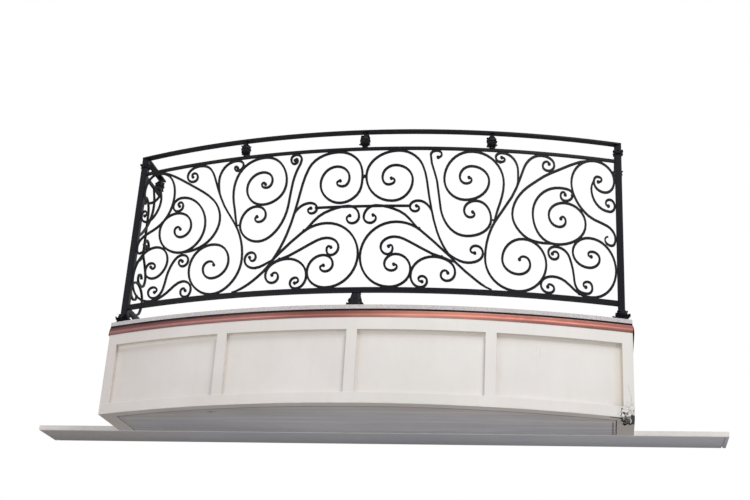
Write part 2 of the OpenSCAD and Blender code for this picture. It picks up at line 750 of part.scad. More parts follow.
module side_scrolls(side) {
    color("black")
    at_end(side)
    translate([x_side - bar_d / 2, y_post, z_lower]) rotate([90, 0, 90])
        linear_extrude(height = bar_d) intersection() {
            square([-y_post, panel_h]);
            for (s = side_pattern) {
                pts = path([for (k = s[1]) side_placed(k)], [for (k = s[1]) k[2]]);
                polygon(bar_outline(pts, s[0]));
                for (p = eyes(pts, s[0])) translate(p) circle(d = eye_d, $fn = bar_fn);
            }
        }
}

ledger_board();
wall_ledge();
soffit_panel();
soffit_border();
corner_damage();
fascia_board();
fascia_top_rail();
fascia_bottom_rail();
stile(-1);  // stile_left_end
stile(-stile_share);  // stile_left
stile(0);  // stile_centre
stile(stile_share);  // stile_right
stile(1);  // stile_right_end
side_board(-1);  // side_board_left
side_board(1);  // side_board_right
side_trim(-1);  // side_trim_left
side_trim(1);  // side_trim_right
deck_slab();
copper_flashing();
corner_post(-1);  // corner_post_left
corner_post(1);  // corner_post_right
corner_shoes();
centre_foot();
wall_feet();
handrail_front();
handrail_side(-1);  // handrail_left
handrail_side(1);  // handrail_right
rail_front(upper_t, z_upper);  // upper_rail_front
rail_side(-1, upper_t, z_upper);  // upper_rail_left
rail_side(1, upper_t, z_upper);  // upper_rail_right
rail_front(lower_t, z_lower);  // bottom_rail_front
rail_side(-1, lower_t, z_lower);  // bottom_rail_left
rail_side(1, lower_t, z_lower);  // bottom_rail_right
knuckles();
wall_links();
front_scrolls(-1, outer_left, outer_welds_left);  // scrolls_outer_left
front_scrolls(-1, middle_left, middle_welds_left);  // scrolls_middle_left
centre_scrolls(-1, centre_left, centre_welds_left);  // scrolls_centre_left
front_scrolls(1, outer_right, outer_welds_right);  // scrolls_outer_right
front_scrolls(1, middle_right, middle_welds_right);  // scrolls_middle_right
centre_scrolls(1, centre_right, centre_welds_right);  // scrolls_centre_right
side_scrolls(-1);  // side_scrolls_left
side_scrolls(1);  // side_scrolls_right
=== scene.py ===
import bpy
import math
import random
from mathutils import Matrix, Vector


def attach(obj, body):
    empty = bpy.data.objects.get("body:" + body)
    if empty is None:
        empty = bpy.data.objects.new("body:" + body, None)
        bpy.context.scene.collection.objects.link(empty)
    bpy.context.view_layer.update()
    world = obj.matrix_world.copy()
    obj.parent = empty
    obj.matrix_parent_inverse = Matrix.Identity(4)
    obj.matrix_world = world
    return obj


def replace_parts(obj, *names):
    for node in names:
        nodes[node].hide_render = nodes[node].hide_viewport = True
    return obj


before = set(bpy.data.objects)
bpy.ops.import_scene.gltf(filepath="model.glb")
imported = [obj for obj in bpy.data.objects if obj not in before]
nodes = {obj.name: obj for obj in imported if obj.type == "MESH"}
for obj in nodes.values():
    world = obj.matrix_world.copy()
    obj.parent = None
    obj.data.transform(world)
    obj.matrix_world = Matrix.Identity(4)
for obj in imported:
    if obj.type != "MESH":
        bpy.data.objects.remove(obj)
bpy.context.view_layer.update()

# ---------------------------------------------------------------- sizes, in metres
BOX_W = 2.9
HALF_W = BOX_W / 2
BOX_H = 0.512
Z_SOFFIT = -BOX_H / 2
Z_SLAB = BOX_H / 2
SLAB_T = 0.025
Z_DECK = Z_SLAB + SLAB_T
BOW_RISE = 0.26
CORNER_DEPTH = 0.345
BOW_R = (HALF_W ** 2 + BOW_RISE ** 2) / (2 * BOW_RISE)
BOW_Y = BOW_R - CORNER_DEPTH - BOW_RISE
LEDGE_W = 3.89
# Railing: inset from the box's edge, handrail, guard height, posts and the two gaps beside the scrolls
RAIL_INSET = 0.035
HAND_W, HAND_T = 0.040, 0.010
GUARD_H = 1.067
POST_W = 0.038
LINK_W = 0.018
UPPER_GAP = 0.093
LOWER_GAP = 0.091
RAIL_R = BOW_R - RAIL_INSET
SCROLL_R = RAIL_R - HAND_W / 2
RAIL_HALF = HALF_W - RAIL_INSET
Z_HAND = Z_DECK + GUARD_H
Z_UPPER = Z_HAND - HAND_T - UPPER_GAP
X_POST = RAIL_HALF - POST_W
X_SIDE = RAIL_HALF - HAND_W / 2
# The uprights and feet at the wall ends stand this far out from the wall
WALL_GAP = 0.0448
Y_CORNER = BOW_Y - math.sqrt(RAIL_R ** 2 - RAIL_HALF ** 2)
POST_C = (RAIL_HALF - POST_W / 2, Y_CORNER + POST_W / 2)
# Boards of the box: bottom rail, underside border and stiles
LOW_RAIL_H = 0.058
BORDER_T = 0.0215
STILE_W = 0.056
STILE_SHARE = 0.51
STILE_X = STILE_SHARE * (HALF_W - STILE_W / 2)
# Left edges of the four panels
PANEL_EDGES = (STILE_W - HALF_W, STILE_W / 2 - STILE_X, STILE_W / 2, STILE_X + STILE_W / 2)
# Copper: height of the nominal sheet, of the open joint over it and of what shows of it
COPPER_H = 0.052
JOINT_H = 0.0085
SHEET_H = 0.0430


def bow_y(x, r):
    return BOW_Y - math.sqrt(r * r - x * x)


# ---------------------------------------------------------------- material helpers
class Nodes:
    """Builds a node tree with short calls."""

    def __init__(self, name):
        self.mat = bpy.data.materials.new(name)
        self.mat.use_nodes = True
        self.t = self.mat.node_tree
        self.t.nodes.clear()
        self.out = self.t.nodes.new("ShaderNodeOutputMaterial")
        self.bsdf = self.t.nodes.new("ShaderNodeBsdfPrincipled")
        self.t.links.new(self.bsdf.outputs[0], self.out.inputs[0])
        self.obj = self.t.nodes.new("ShaderNodeTexCoord").outputs["Object"]

    def put(self, value, socket):
        if isinstance(value, (int, float)):
            socket.default_value = value
        elif isinstance(value, tuple):
            socket.default_value = (*value, 1.0) if len(socket.default_value) == 4 else value
        else:
            self.t.links.new(value, socket)

    def math(self, op, a, b=0.0, clamp=False):
        n = self.t.nodes.new("ShaderNodeMath")
        n.operation = op
        n.use_clamp = clamp
        self.put(a, n.inputs[0])
        self.put(b, n.inputs[1])
        return n.outputs[0]

    def add(self, a, b):
        return self.math("ADD", a, b)

    def sub(self, a, b, clamp=False):
        return self.math("SUBTRACT", a, b, clamp)

    def mul(self, a, *others):
        for b in others:
            a = self.math("MULTIPLY", a, b)
        return a

    def div(self, a, b, clamp=False):
        return self.math("DIVIDE", a, b, clamp)

    def most(self, a, *others):
        for b in others:
            a = self.math("MAXIMUM", a, b)
        return a

    def over(self, a, b):
        """1 where a is more than b, else 0."""
        return self.math("GREATER_THAN", a, b)

    def under(self, a, b):
        """1 where a is less than b, else 0."""
        return self.math("LESS_THAN", a, b)

    def split(self, vector):
        n = self.t.nodes.new("ShaderNodeSeparateXYZ")
        self.put(vector, n.inputs[0])
        return n.outputs

    def scaled(self, scale, vector=None, rot=(0, 0, 0)):
        n = self.t.nodes.new("ShaderNodeMapping")
        n.inputs["Scale"].default_value = scale
        n.inputs["Rotation"].default_value = rot
        self.put(vector or self.obj, n.inputs[0])
        return n.outputs[0]

    def noise(self, scale, detail=3.0, rough=0.5, vector=None, distort=0.0):
        n = self.t.nodes.new("ShaderNodeTexNoise")
        n.inputs["Scale"].default_value = scale
        n.inputs["Detail"].default_value = detail
        n.inputs["Roughness"].default_value = rough
        n.inputs["Distortion"].default_value = distort
        self.put(vector or self.obj, n.inputs["Vector"])
        return n.outputs["Fac"]

    def voronoi(self, scale, vector=None, feature="F1"):
        n = self.t.nodes.new("ShaderNodeTexVoronoi")
        n.feature = feature
        n.inputs["Scale"].default_value = scale
        self.put(vector or self.obj, n.inputs["Vector"])
        return n.outputs["Distance"]

    def ramp(self, fac, stops, smooth=False):
        n = self.t.nodes.new("ShaderNodeValToRGB")
        n.color_ramp.interpolation = "EASE" if smooth else "LINEAR"
        el = n.color_ramp.elements
        while len(el) < len(stops):
            el.new(0.5)
        for e, (p, c) in zip(el, stops):
            e.position = p
            e.color = (*c, 1.0) if isinstance(c, tuple) else (c, c, c, 1.0)
        self.put(fac, n.inputs[0])
        return n.outputs[0]

    def mix(self, fac, a, b, how="MIX"):
        n = self.t.nodes.new("ShaderNodeMix")
        n.data_type = "RGBA"
        n.blend_type = how
        self.put(fac, n.inputs["Factor"])
        self.put(a, n.inputs[6])
        self.put(b, n.inputs[7])
        return n.outputs[2]

    def tint(self, colour, fac, stops, smooth=False):
        """The colour times a ramp."""
        return self.mix(1.0, colour, self.ramp(fac, stops, smooth), "MULTIPLY")

    def bump(self, height, strength, distance, below=None):
        n = self.t.nodes.new("ShaderNodeBump")
        n.inputs["Strength"].default_value = strength
        n.inputs["Distance"].default_value = distance
        self.put(height, n.inputs["Height"])
        if below is not None:
            self.put(below, n.inputs["Normal"])
        return n.outputs[0]

    def facing(self):
        """The surface's normal as x, y and z, each -1 to 1."""
        return self.split(self.t.nodes.new("ShaderNodeNewGeometry").outputs["Normal"])

    def done(self, color, rough, normal=None, metallic=0.0, specular=0.5):
        b = self.bsdf.inputs
        self.put(color, b["Base Color"])
        self.put(rough, b["Roughness"])
        b["Metallic"].default_value = metallic
        b["Specular IOR Level"].default_value = specular
        if normal is not None:
            self.put(normal, b["Normal"])
        return self.mat


def band(n, value, centre, half, soft):
    """1 inside centre +- half, falling to 0 over soft."""
    d = n.math("ABSOLUTE", n.sub(value, centre))
    return n.div(n.sub(half + soft, d), soft, clamp=True)


def oval(n, u, v, centre, half):
    """Distance from an oval's centre, 1 on its edge."""
    a = n.div(n.sub(u, centre[0]), half[0])
    b = n.div(n.sub(v, centre[1]), half[1])
    return n.math("SQRT", n.add(n.math("POWER", a, 2.0), n.math("POWER", b, 2.0)))


def along_box(n, x):
    """0 at the box's left end, 1 at its right end."""
    return n.div(n.add(x, HALF_W), BOX_W)


def iron_material():
    n = Nodes("black_iron")
    blotch = n.noise(9.0, 4.0, 0.6)
    brush = n.noise(120.0, 2.0, 0.5)
    paint = n.ramp(blotch, [(0.3, (0.0034, 0.0037, 0.0055)), (0.7, (0.0062, 0.0067, 0.0100))])
    worn = n.mul(n.sub(n.noise(55.0, 5.0, 0.7), 0.62, clamp=True), 1.6)
    paint = n.mix(worn, paint, (0.020, 0.020, 0.024))
    dust = n.mul(n.most(n.facing()[2], 0.0), n.ramp(n.noise(30.0, 4.0), [(0.35, 0.0), (0.7, 0.4)]))
    paint = n.mix(dust, paint, (0.060, 0.059, 0.058))
    rough = n.ramp(brush, [(0.3, 0.40), (0.7, 0.54)])
    hammered = n.bump(n.voronoi(60.0), 0.16, 0.0010)
    grain = n.bump(n.noise(420.0, 3.0), 0.12, 0.0003, hammered)
    return n.done(paint, rough, grain, specular=0.11)


def cream(n):
    """Old cream paint: faint mottling, thin runs, small specks of grime, and darker and a little warmer towards the
    left end, which is painted shade.
    """
    mottled = n.ramp(n.noise(2.3, 5.0, 0.6), [(0.32, (0.735, 0.705, 0.680)), (0.68, (0.800, 0.770, 0.745))])
    runs = n.noise(26.0, 4.0, 0.6, n.scaled((1.0, 1.0, 0.14)))
    colour = n.mix(n.ramp(runs, [(0.48, 0.0), (0.80, 0.30)]), mottled, (0.690, 0.650, 0.600))
    specks = n.ramp(n.noise(190.0, 2.0, 0.5), [(0.70, 0.0), (0.78, 0.35)])
    colour = n.mix(specks, colour, (0.50, 0.46, 0.41))
    # Painted shade: the paint darkens and warms towards the left end, away from the light on the right
    return n.tint(colour, along_box(n, n.split(n.obj)[0]), [
        (0.05, (0.905, 0.875, 0.862)), (0.17, (0.945, 0.925, 0.912)), (0.30, (0.945, 0.932, 0.915)),
        (0.42, (0.975, 0.965, 0.955)), (0.62, (0.985, 0.985, 0.975)), (0.80, (1.0, 1.0, 0.995))])


def cream_surface(n, colour):
    brushed = n.bump(n.noise(60.0, 4.0, 0.6, n.scaled((0.25, 0.25, 1.0))), 0.18, 0.0010)
    pores = n.bump(n.noise(350.0, 2.0), 0.12, 0.0003, brushed)
    rough = n.ramp(n.noise(12.0, 3.0), [(0.3, 0.48), (0.7, 0.62)])
    return n.done(colour, rough, pores, specular=0.35)


def grain_along(n):
    """Fine grain drawn out along the wall."""
    return n.noise(60.0, 5.0, 0.65, n.scaled((0.03, 1.0, 1.0)))


def underside(n):
    base = n.ramp(n.noise(3.0, 5.0, 0.6), [(0.3, (0.510, 0.492, 0.475)), (0.7, (0.590, 0.572, 0.553))])
    return n.mix(n.ramp(grain_along(n), [(0.42, 0.0), (0.75, 0.50)]), base, (0.400, 0.385, 0.370))


def behind_front(n, x, y):
    """Distance of a spot behind the bowed front edge."""
    out_y = n.sub(y, BOW_Y)
    return n.sub(BOW_R, n.math("SQRT", n.add(n.mul(x, x), n.mul(out_y, out_y))))


def at_corner(n, x, y, z):
    """Mask of the broken lower right corner, fading out over a few centimetres."""
    from_left = n.div(n.sub(x, HALF_W - 0.105), 0.050, clamp=True)
    from_above = n.div(n.sub(Z_SOFFIT + 0.090, z), 0.040, clamp=True)
    from_wall = n.div(n.sub(-0.150, y), 0.070, clamp=True)
    return n.mul(from_left, from_above, n.under(x, HALF_W + 0.005), from_wall)


def crack(n, x, z, x0, lean, z0, half):
    """Mask of a hairline crack that runs up a board, wavering a little."""
    wander = n.mul(n.sub(n.noise(45.0, 4.0), 0.5), 0.010)
    line = n.add(n.mul(n.sub(z, z0), lean), n.add(wander, x0))
    return n.mul(band(n, n.sub(x, line), 0.0, 0.0006, 0.0010), band(n, z, z0, half, 0.006))


def strands(n):
    return n.noise(150.0, 6.0, 0.75, n.scaled((0.25, 1.0, 1.0)))


def core_and_hollow_shade(n):
    """Torn core: black hollows, their shade painted in, with a few pale strands."""
    return n.ramp(strands(n), [
        (0.32, (0.006, 0.006, 0.005)), (0.52, (0.024, 0.022, 0.020)), (0.60, (0.140, 0.125, 0.105)),
        (0.70, (0.420, 0.385, 0.340))])


def scar_mask(n, x, y, high, back):
    """Scars on the front: a spall, the break that runs down from it, and the corner's own break."""
    wave = n.mul(n.sub(n.noise(70.0, 3.0), 0.5), 0.008)
    spall = n.under(n.add(oval(n, x, high, (1.3950, 0.0245), (0.0085, 0.0055)), n.mul(wave, 60.0)), 1.0)
    lean = n.add(n.sub(1.4060, n.mul(high, 0.55)), wave)
    split = n.mul(band(n, n.sub(x, lean), 0.0, 0.0020, 0.0014), n.under(high, 0.0225))
    end = n.mul(n.over(n.add(x, wave), 1.4300), n.under(n.add(high, wave), 0.0185), n.under(x, 1.4496))
    return n.mul(n.most(spall, split, end), n.under(back, 0.0090), n.under(y, -0.330))


def torn_mask(n, x, y, z, near):
    """Where the broken corner bares its core, with its hollows painted dark as shade."""
    board_top = Z_SOFFIT + BORDER_T
    high = n.sub(z, Z_SOFFIT)
    back = behind_front(n, x, y)
    torn = n.mul(n.over(near, 0.02), n.over(n.facing()[1], -0.5), n.over(z, Z_SOFFIT + 0.001))
    torn = n.mul(torn, n.most(n.under(y, -0.318), n.under(z, board_top)), n.under(x, 1.4485))
    torn = n.mul(torn, n.most(n.under(high, 0.019), n.under(x, 1.390)))
    # The walls of the hole in the underside, and the ragged strip between it and the side, painted dark as the hole's
    # shade
    inside = n.mul(n.over(x, 1.310), n.over(back, 0.0088), n.under(y, -0.170))
    walls = n.mul(n.over(z, Z_SOFFIT + 0.0005), n.under(z, board_top))
    ragged = n.add(x, n.mul(n.sub(n.noise(60.0, 3.0), 0.5), 0.012))
    strip = n.mul(n.over(ragged, 1.4385), n.under(y, -0.235), n.under(z, board_top), n.under(x, 1.4495))
    torn = n.most(torn, n.mul(inside, n.most(walls, strip)))
    return n.most(torn, scar_mask(n, x, y, high, back))


def trim_material():
    n = Nodes("cream_trim")
    colour = cream(n)
    x, y, z = n.split(n.obj)
    # Dirt gathers along the lower edge of the boards, and a caulk line closes the upper edge
    low = n.mul(band(n, z, Z_SOFFIT, 0.003, 0.007), n.ramp(n.noise(14.0, 5.0), [(0.40, 0.0), (0.7, 0.45)]))
    colour = n.mix(low, colour, (0.50, 0.46, 0.41))
    caulk = n.mul(band(n, z, Z_SOFFIT + LOW_RAIL_H, 0.0012, 0.001), 0.5)
    colour = n.mix(caulk, colour, (0.84, 0.82, 0.80))
    # Two hairline cracks in the paint
    hair = n.most(crack(n, x, z, 1.434, -0.05, -0.170, 0.022), crack(n, x, z, 1.428, -0.22, -0.120, 0.038))
    colour = n.mix(n.mul(hair, 0.50), colour, (0.30, 0.28, 0.26))
    # Painted shade: downward faces are painted a little browner, and the border's and the ledge's undersides grey,
    # streaked along the wall
    under = n.over(n.mul(n.facing()[2], -1.0), 0.7)
    colour = n.mix(n.mul(under, 0.45), colour, (0.640, 0.560, 0.470))
    # Painted shade: the ledge's underside is bluish, darker towards the wall and the left end, paler towards the
    # right end
    board = n.mix(0.65, underside(n), (0.305, 0.323, 0.378))
    across = n.div(n.add(y, 0.010), 0.240, clamp=True)
    board = n.tint(board, across, [(0.0, 1.0), (0.12, 0.98), (0.50, 0.90), (1.0, 0.64)])
    board = n.tint(board, n.div(n.add(x, LEDGE_W / 2), LEDGE_W), [
        (0.10, (0.970, 0.860, 0.780)), (0.29, (0.920, 0.900, 0.880)), (0.60, (0.920, 0.900, 0.900)),
        (0.80, (1.120, 1.100, 1.080)), (0.95, (1.150, 1.120, 1.100))])
    # Painted highlight: the ledge's underside is paler and bluish along its front edge
    board = n.mix(n.under(y, 0.001), board, (0.600, 0.615, 0.660))
    # The border's underside darkens towards the left end and near the right end
    border = n.tint(underside(n), along_box(n, x), [
        (0.15, (0.850, 0.800, 0.760)), (0.29, (0.900, 0.850, 0.810)), (0.43, (1.000, 0.945, 0.900)),
        (0.955, (1.000, 0.945, 0.900)), (0.972, (0.870, 0.815, 0.750))])
    below = n.mix(n.over(y, -0.011), border, board)
    colour = n.mix(n.mul(under, n.under(z, Z_SOFFIT + 0.035)), colour, below)
    # Painted shadow: the open joint over the copper, shaded by the slab above, is painted near black
    colour = n.mix(band(n, z, Z_SLAB, 0.0095, 0.0010), colour, (0.022, 0.011, 0.010))
    # Crazed paint and grime round the broken corner, and bare core with painted shade of its hollows on the faces
    # that broke
    near = at_corner(n, x, y, z)
    shards = n.voronoi(46.0, n.scaled((1.0, 0.5, 1.0)), "DISTANCE_TO_EDGE")
    crazed = n.mul(n.under(shards, 0.035), n.ramp(n.noise(30.0, 3.0), [(0.42, 0.0), (0.55, 1.0)]))
    grime = n.ramp(n.noise(42.0, 5.0, 0.65), [(0.46, 0.0), (0.66, 0.60)])
    colour = n.mix(n.mul(near, n.most(crazed, grime), 0.85), colour, (0.200, 0.180, 0.160))
    colour = n.mix(torn_mask(n, x, y, z, near), colour, core_and_hollow_shade(n))
    return cream_surface(n, colour)


def panel_material():
    n = Nodes("cream_panel")
    colour = cream(n)
    x, _, z = n.split(n.obj)
    # Faint yellowish stains beside the stile at the left of each panel
    side = 0.0
    for edge in PANEL_EDGES:
        past = n.sub(x, edge)
        one = n.mul(n.sub(1.0, n.div(past, 0.080), clamp=True), n.over(past, -0.002))
        side = n.most(side, one)
    blot = n.ramp(n.noise(5.5, 5.0, 0.6), [(0.36, 0.0), (0.62, 1.0)])
    stain = n.mul(side, blot, 0.30)
    colour = n.mix(stain, colour, (0.700, 0.620, 0.500))
    # Painted shade: a brown shade that fades out below the top rail; right under the rail the paint is paler, a
    # painted light that eases the lamps' shadow there
    below = n.div(n.sub(Z_SLAB - 0.112, z), 0.080, clamp=True)
    shade = n.ramp(below, [(0.0, 0.0), (0.25, 0.0), (0.40, 0.12), (1.0, 0.0)], True)
    colour = n.mix(shade, colour, (0.540, 0.430, 0.310))
    colour = n.mix(n.ramp(below, [(0.0, 1.0), (0.40, 0.0)]), colour, (0.960, 0.890, 0.800))
    # Painted shade: a soft beige shade beside the right end stile, with paler paint right beside the stile as painted
    # light over the lamps' shadow line
    end_stile_shade_and_light = n.div(n.sub(x, 1.344), 0.050, clamp=True)
    colour = n.mix(n.ramp(end_stile_shade_and_light, [(0.0, 0.0), (0.50, 0.30), (0.80, 0.46), (0.88, 0.0)]), colour, (0.580, 0.490, 0.320))
    colour = n.mix(n.ramp(end_stile_shade_and_light, [(0.86, 0.0), (0.92, 0.8)]), colour, (0.930, 0.860, 0.760))
    # Two hairline cracks, and dark core, its hollow's shade painted in, where the broken bottom rail bares the board
    hair = n.most(crack(n, x, z, 0.974, 0.02, 0.062, 0.026), crack(n, x, z, 0.957, -0.03, 0.078, 0.012))
    colour = n.mix(n.mul(hair, 0.45), colour, (0.42, 0.40, 0.37))
    colour = n.mix(n.under(z, Z_SOFFIT + LOW_RAIL_H), colour, core_and_hollow_shade(n))
    return cream_surface(n, colour)


def soffit_material():
    n = Nodes("soffit_paint")
    base = n.ramp(n.noise(3.0, 5.0, 0.6), [(0.3, (0.480, 0.480, 0.492)), (0.7, (0.560, 0.560, 0.574))])
    grain = grain_along(n)
    colour = n.mix(n.ramp(grain, [(0.42, 0.0), (0.75, 0.55)]), base, (0.370, 0.370, 0.380))
    drawn = n.noise(5.0, 5.0, 0.65, n.scaled((0.16, 5.0, 1.0)))
    colour = n.mix(n.ramp(drawn, [(0.38, 0.55), (0.50, 0.0)]), colour, (0.390, 0.388, 0.400))
    colour = n.mix(n.ramp(drawn, [(0.54, 0.0), (0.66, 0.55)]), colour, (0.620, 0.622, 0.645))
    marks = n.noise(9.0, 6.0, 0.7, n.scaled((0.25, 2.2, 1.0)))
    colour = n.mix(n.ramp(marks, [(0.60, 0.0), (0.74, 0.40)]), colour, (0.300, 0.298, 0.302))
    # Warmer beside the front border, darker towards the left end and the wall
    x, y, z = n.split(n.obj)
    back = behind_front(n, x, y)
    colour = n.tint(colour, n.div(back, 0.4), [
        (0.16, (0.990, 0.915, 0.860)), (0.38, (0.975, 0.915, 0.880)), (0.70, (0.960, 0.930, 0.945))])
    colour = n.tint(colour, along_box(n, x), [(0.12, 0.79), (0.29, 0.85), (0.43, 0.96), (0.62, 1.0)])
    colour = n.tint(colour, n.div(n.add(y, 0.190), 0.18), [(0.0, 1.0), (1.0, 0.87)])
    # A second joint near the right end and a dark scuff near the left
    joint = n.most(band(n, x, 1.3400, 0.0025, 0.0040), n.over(z, Z_SOFFIT + 0.0115))
    joint = n.mul(joint, n.over(back, 0.118))
    # Painted shadow: a dark band just behind the front border, where the border's step shades the panel
    joint = n.most(joint, n.mul(band(n, back, 0.080, 0.0050, 0.0060), 0.62))
    scuff = n.sub(1.3, oval(n, x, y, (-0.785, -0.400), (0.030, 0.014)), clamp=True)
    scuff = n.mul(scuff, n.ramp(n.noise(60.0, 4.0), [(0.4, 0.2), (0.6, 0.8)]))
    colour = n.mix(scuff, colour, (0.060, 0.055, 0.052))
    colour = n.mix(n.mul(joint, 0.9), colour, (0.170, 0.152, 0.140))
    ridges = n.bump(grain, 0.35, 0.0015)
    return n.done(colour, 0.72, ridges, specular=0.25)


def copper_material():
    n = Nodes("copper")
    x, _, z = n.split(n.obj)
    h = n.div(n.sub(z, Z_SLAB - COPPER_H), COPPER_H)
    # Painted highlight and shade by height: a bright band on the lower bulge, darker above it, and the top edge in
    # the joint painted near black as shadow
    fresh_and_painted_light = n.ramp(h, [
        (0.06, (0.640, 0.350, 0.300)), (0.20, (0.760, 0.390, 0.330)), (0.32, (0.820, 0.390, 0.320)),
        (0.42, (0.520, 0.210, 0.165)), (0.56, (0.370, 0.140, 0.106)), (0.72, (0.370, 0.158, 0.128)),
        (0.80, (0.260, 0.110, 0.094)), (0.835, (0.004, 0.002, 0.002))], True)
    aged_and_painted_light = n.ramp(h, [
        (0.06, (0.330, 0.180, 0.165)), (0.22, (0.400, 0.205, 0.190)), (0.36, (0.330, 0.150, 0.140)),
        (0.50, (0.185, 0.072, 0.066)), (0.68, (0.150, 0.056, 0.052)), (0.78, (0.070, 0.026, 0.025)),
        (0.835, (0.004, 0.002, 0.002))], True)
    # Partly tarnish and partly painted shade of the light from the right: the sheet is brighter on the right and
    # browner towards the left end
    along = n.add(n.div(n.add(x, 1.05), 1.55), n.mul(n.sub(n.noise(1.6, 4.0), 0.5), 0.55))
    tone = n.mix(n.ramp(along, [(0.05, 0.0), (0.95, 1.0)], True), aged_and_painted_light, fresh_and_painted_light)
    cloudy = n.noise(7.0, 5.0, 0.6, n.scaled((1.0, 1.0, 3.0)))
    tone = n.mix(n.ramp(cloudy, [(0.38, 0.0), (0.78, 0.30)]), tone, (0.170, 0.075, 0.070))
    # Stretches along the sheet, set apart for the upper part and the bright band: brown left of the middle, palest
    # right of it, duller towards the right end
    share = along_box(n, x)
    high = n.ramp(share, [(0.10, 0.74), (0.27, 1.0), (0.43, (0.62, 0.54, 0.52)), (0.66, (1.0, 0.98, 0.92)),
                          (0.80, (0.56, 0.50, 0.49)), (0.90, (0.48, 0.43, 0.43)), (1.0, (0.58, 0.53, 0.55))], True)
    low = n.ramp(share, [(0.06, 0.82), (0.24, 1.0), (0.45, (0.60, 0.53, 0.52)), (0.62, 1.0),
                         (0.84, (0.64, 0.58, 0.57)), (1.0, (0.56, 0.52, 0.53))], True)
    tone = n.mix(1.0, tone, n.mix(n.ramp(h, [(0.34, 0.0), (0.46, 1.0)]), low, high), "MULTIPLY")
    rolled = n.bump(n.noise(90.0, 3.0, 0.5, n.scaled((0.04, 0.04, 1.0))), 0.12, 0.0006)
    dents = n.bump(n.noise(6.0, 2.0), 0.25, 0.0020, rolled)
    rough = n.ramp(n.noise(18.0, 4.0), [(0.3, 0.38), (0.7, 0.52)])
    return n.done(tone, rough, dents, metallic=0.75, specular=0.3)


def stone_material():
    n = Nodes("deck_stone")
    base = n.ramp(n.noise(4.0, 5.0, 0.6), [(0.3, (0.560, 0.520, 0.525)), (0.7, (0.650, 0.610, 0.610))])
    dark = n.ramp(n.noise(260.0, 3.0, 0.6), [(0.52, 0.0), (0.64, 0.85)])
    colour = n.mix(dark, base, (0.230, 0.220, 0.220))
    light = n.ramp(n.noise(330.0, 2.0, 0.5, n.scaled((1, 1, 1), rot=(0.5, 0.8, 0.2))), [(0.60, 0.0), (0.70, 0.9)])
    colour = n.mix(light, colour, (0.840, 0.810, 0.810))
    # Painted shadow: the slab's lowest 2 mm, over the open joint, are painted near black
    edge = n.under(n.split(n.obj)[2], Z_SLAB + 0.0022)
    colour = n.mix(edge, colour, (0.030, 0.024, 0.022))
    pits = n.bump(n.noise(240.0, 4.0, 0.7), 0.6, 0.0016)
    return n.done(colour, 0.70, pits, specular=0.3)


def timber_material():
    n = Nodes("raw_timber")
    rings = n.noise(30.0, 5.0, 0.6, n.scaled((0.06, 1.0, 1.0)), 0.6)
    colour = n.ramp(rings, [
        (0.30, (0.360, 0.240, 0.140)), (0.52, (0.520, 0.380, 0.240)), (0.75, (0.600, 0.460, 0.310))])
    return n.done(colour, 0.7, n.bump(rings, 0.4, 0.0015), specular=0.25)


def core_material():
    n = Nodes("exposed_core")
    return n.done(core_and_hollow_shade(n), 0.9, n.bump(strands(n), 1.0, 0.0060), specular=0.1)


def facing_material():
    n = Nodes("torn_facing")
    colour = n.ramp(n.noise(40.0, 4.0, 0.6), [(0.35, (0.700, 0.680, 0.650)), (0.65, (0.860, 0.845, 0.820))])
    return n.done(colour, 0.6, n.bump(n.noise(300.0, 3.0), 0.25, 0.0004), specular=0.3)


def fibre_material():
    n = Nodes("torn_fibre")
    colour = n.ramp(n.noise(70.0, 4.0, 0.6), [(0.35, (0.100, 0.096, 0.088)), (0.65, (0.520, 0.500, 0.460))])
    return n.done(colour, 0.85, n.bump(n.noise(500.0, 2.0), 0.3, 0.0004), specular=0.2)


IRON = iron_material()
TRIM = trim_material()
PANEL = panel_material()
SOFFIT = soffit_material()
COPPER = copper_material()
STONE = stone_material()
TIMBER = timber_material()
CORE = core_material()
FIBRE = fibre_material()
FACING = facing_material()

BY_NODE = {
    "ledger_board": TIMBER, "soffit_panel": SOFFIT, "fascia_board": PANEL, "deck_slab": STONE,
    "copper_flashing": COPPER, "corner_damage": CORE,
}
CREAM = ("wall_ledge", "soffit_border", "fascia_top", "fascia_bottom", "stile", "side_board", "side_trim")
for name, obj in nodes.items():
    mat = BY_NODE.get(name) or (TRIM if name.startswith(CREAM) else IRON)
    obj.data.materials.clear()
    obj.data.materials.append(mat)


# ---------------------------------------------------------------- mesh helpers
class Shape:
    """Collects vertices and faces of one piece."""

    def __init__(self):
        self.v = []
        self.f = []

    def loft(self, rings):
        """Closed rings joined one after another, with both ends capped."""
        first, n = len(self.v), len(rings[0])
        last = first + n * (len(rings) - 1)
        for ring in rings:
            self.v.extend(tuple(p) for p in ring)
        for a in range(first, last, n):
            for c in range(n):
                d = (c + 1) % n
                self.f.append((a + c, a + n + c, a + n + d, a + d))
        self.f.append(tuple(range(first, first + n)))
        self.f.append(tuple(reversed(range(last, last + n))))

    def add(self, other, m):
        base = len(self.v)
        self.v.extend(tuple(m @ Vector(p)) for p in other.v)
        self.f.extend(tuple(base + i for i in f) for f in other.f)

    def piece(self, name, mat, slot, smooth=40.0):
        mesh = bpy.data.meshes.new(name)
        mesh.from_pydata(self.v, [], self.f)
        mesh.validate()
        obj = bpy.data.objects.new(name, mesh)
        bpy.context.scene.collection.objects.link(obj)
        mesh.materials.append(mat)
        bpy.context.view_layer.objects.active = obj
        obj.select_set(True)
        bpy.ops.object.mode_set(mode="EDIT")
        bpy.ops.mesh.select_all(action="SELECT")
        bpy.ops.mesh.normals_make_consistent(inside=False)
        bpy.ops.object.mode_set(mode="OBJECT")
        bpy.ops.object.shade_smooth_by_angle(angle=math.radians(smooth))
        obj.select_set(False)
        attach(obj, "root")
        return obj


